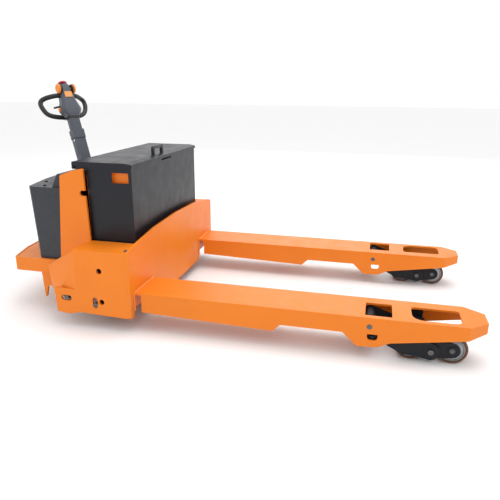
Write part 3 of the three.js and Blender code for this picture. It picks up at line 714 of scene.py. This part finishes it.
def grip_loop():
    """The loop handle: one thick round bar, squarer at its lower corners."""
    right_half = [
        (-0.014, 0, 0.430), (-0.025, 0.062, 0.431), (-0.058, 0.113, 0.426), (-0.0682, 0.137, 0.406),
        (-0.065, 0.134, 0.368), (-0.062, 0.112, 0.334), (-0.056, 0.066, 0.316), (-0.050, 0, 0.310),
    ]
    other = [(x, -y, z) for x, y, z in reversed(right_half[1:-1])]
    path = [TILLER @ point for point in catmull(right_half + other, 14)]
    bm = tube(bmesh.new(), path, 0.0135, 24, closed=True)
    smooth(piece("grip_loop", bm, "black_plastic", "tiller", "grip_loop"))


def arm_panels():
    """A thin raised panel on each side of both arm tubes."""
    bm = bmesh.new()
    for side in hands.values():
        for face_y, z_low, z_high, half in ((0.030, 0.223, 0.279, 0.016), (0.031, 0.070, 0.136, 0.017)):
            corners = ((-half, z_low), (-half, z_high), (half, z_high), (half, z_low))
            outline = rounded([(x, z, 0.005) for x, z in corners])
            loft(bm, [[on_tiller(x, side * y, z) for x, z in outline]
                      for y in (face_y + 0.0003, face_y + 0.0015)])
    smooth(piece("arm_panels", bm, "tiller_grey", "tiller"), 0.0005)


def cross_pin():
    """The bright ends of the pin through the lower arm."""
    bm = bmesh.new()
    for side in hands.values():
        pin_end(bm, on_tiller(0.008, side * 0.0312, 0.155), along_tiller(0, side, 0), 0.0075, 0.0035)
    smooth(piece("cross_pin", bm, "bright_steel", "tiller", slot="steel"))


def speed_lever():
    """The small flattened lever above the right thumb button."""
    points = ((-0.016, -0.053, 0.364), (-0.018, -0.064, 0.363), (-0.023, -0.077, 0.361),
              (-0.026, -0.087, 0.361))
    bm = tube(bmesh.new(), [on_tiller(*point) for point in points], 0.0068, 16, squash=0.7)
    smooth(piece("speed_lever", bm, "black_plastic", "tiller"), 0.001)


def throttle_knobs():
    """A round dished knob on each side of the head, with a knurled rim and a black seat."""
    pin = TILLER.inverted() @ Vector(joints["throttle_turn"]["pos_m"])
    radius, rim, stem = 0.026, 0.0255, 0.006
    stem_from, seat_from, knob_from = 0.003, 0.0302, 0.0392
    seat_bore, seat_depth = 0.0072, 0.008
    dish = rounded([
        (0, 0, 0), (0.0235, 0, 0.001), (radius, 0.003, 0.001), (radius, 0.009, 0.002),
        (0.0215, 0.0145, 0.003), (0.0165, 0.0138, 0.001), (0.0120, 0.0105, 0.002), (0, 0.0105, 0)])
    rib = rounded([(0, 0.002, 0), (0.0017, 0.002, 0), (0.0017, 0.0102, 0.0008), (0, 0.0105, 0)], 2)
    stem_outline = [(0, 0), (stem, 0), (stem, 0.0365), (0, 0.0365)]
    seat = rounded([
        (seat_bore, 0, 0), (0.0235, 0, 0), (0.0225, seat_depth, 0.002), (seat_bore, seat_depth, 0)])
    seats = bmesh.new()
    for hand, side in hands.items():
        outward = along_tiller(0, side, 0)
        bm = turned(bmesh.new(), on_tiller(pin.x, side * knob_from, pin.z), outward, dish, 72)
        for step in range(KNURLS):
            angle = 2 * math.pi * step / KNURLS
            x = pin.x + rim * math.cos(angle)
            z = pin.z + rim * math.sin(angle)
            turned(bm, on_tiller(x, side * knob_from, z), outward, rib, 8)
        turned(bm, on_tiller(pin.x, side * stem_from, pin.z), outward, stem_outline, 24)
        smooth(piece(f"knob_{hand}", bm, "orange_plastic", "throttle", f"knob_{hand}"))
        turned(seats, on_tiller(pin.x, side * seat_from, pin.z), outward, seat, 48)
    smooth(piece("knob_seats", seats, "black_plastic", "tiller"))


def reverse_button():
    """The domed red button on the head's end, on its stem."""
    stem, radius, seat_z = 0.009, 0.026, 0.500
    centre = TILLER.inverted() @ middle("belly_button")
    bm = turned(bmesh.new(), on_tiller(centre.x, 0, seat_z), along_tiller(0, 0, 1), rounded([
        (0, -0.022, 0), (stem, -0.022, 0), (stem, 0, 0), (radius, 0, 0.001), (radius, 0.004, 0.002),
        (0.0205, 0.0105, 0.004), (0, 0.0115, 0.006)], 5), 64)
    smooth(piece("belly_button", bm, "red_plastic", "reverse_button", "belly_button"))


def thumb_button(hand, side):
    """A round button with a shallow dish for the thumb."""
    node = f"thumb_button_{hand}"
    radius, depth = 0.010, 0.012
    outward = along_tiller(0, side, 0)
    bm = turned(bmesh.new(), middle(node) - outward * depth / 2, outward, rounded([
        (0, 0, 0), (radius, 0, 0.0005), (radius, 0.0105, 0.0025), (0.0055, depth, 0.0005),
        (0.0045, 0.0108, 0), (0, 0.0105, 0)]), 40)
    smooth(piece(node, bm, "orange_plastic", node, node))


# ---- carried-over CAD nodes: material and width of the rounded edges ------
CARRIED = {
    "chassis_frame": ("orange_paint", 0.002),
    "bumper_skirt": ("orange_paint", 0.003),
    "front_plate": ("orange_paint", 0.0025),
    "battery_tray": ("orange_paint", 0.002),
    "window_panel": ("orange_paint", 0.0015),
    "battery_box": ("charcoal_paint", 0.0016),
    "battery_lid": ("charcoal_paint", 0.0012),
    "battery_pack": ("black_plastic", 0.004),
    "lid_handle": ("black_plastic", 0.004),
    "drive_cover": ("cover_plastic", 0.007),
    "pump_motor": ("dark_steel", 0.002),
    "hydraulic_tank": ("dark_steel", 0.003),
    "drive_motor": ("dark_steel", 0.002),
    "rocker_shaft": ("dark_steel", 0.001),
    "steer_post": ("cast", 0.0015),
    "gearbox": ("cast", 0.002),
    "lower_arm": ("tiller_grey", 0.003),
    "upper_arm": ("tiller_grey", 0.003),
    "head_housing": ("tiller_grey", 0.004),
    "arm_pin": ("steel", 0.001),
    "neck_collar": ("black_plastic", 0.003),
    "head_plate": ("panel_plastic", 0.0015),
}
CARRIED_ON_BOTH_SIDES = {
    "side_panel": ("orange_paint", 0.0035),
    "fork": ("orange_paint", 0.0025),
    "tie_pin": ("pin_steel", 0.001),
    "lever_pin": ("pin_steel", 0.001),
    "push_rod": ("dark_steel", 0.001),
    "roller_lever": ("dark_steel", 0.0015),
    "bogie": ("dark_steel", 0.0015),
    "lift_cylinder": ("dark_steel", 0.001),
    "lift_ram": ("steel", 0.001),
    "caster_fork": ("dark_steel", 0.001),
}


# ---- the whole truck -----------------------------------------------------
add_camera()
add_studio()
for node, (material, bevel) in CARRIED.items():
    dress(node, material, bevel)
for stem, (material, bevel) in CARRIED_ON_BOTH_SIDES.items():
    for hand in hands:
        dress(f"{stem}_{hand}", material, bevel)
for hand, side in hands.items():
    for end in ("rear", "front"):
        roller(end, hand)
    bogie_detail(hand)
    window_shade_and_rod_discs(hand, side)
    caster_wheel(hand)
drive_wheel()
cover_screws()
carriage_welds()
carriage_bolts()
pins()
hole_shade_cups()
arm_panels()
cross_pin()
speed_lever()
grip_loop()
throttle_knobs()
reverse_button()
for hand, side in hands.items():
    thumb_button(hand, side)
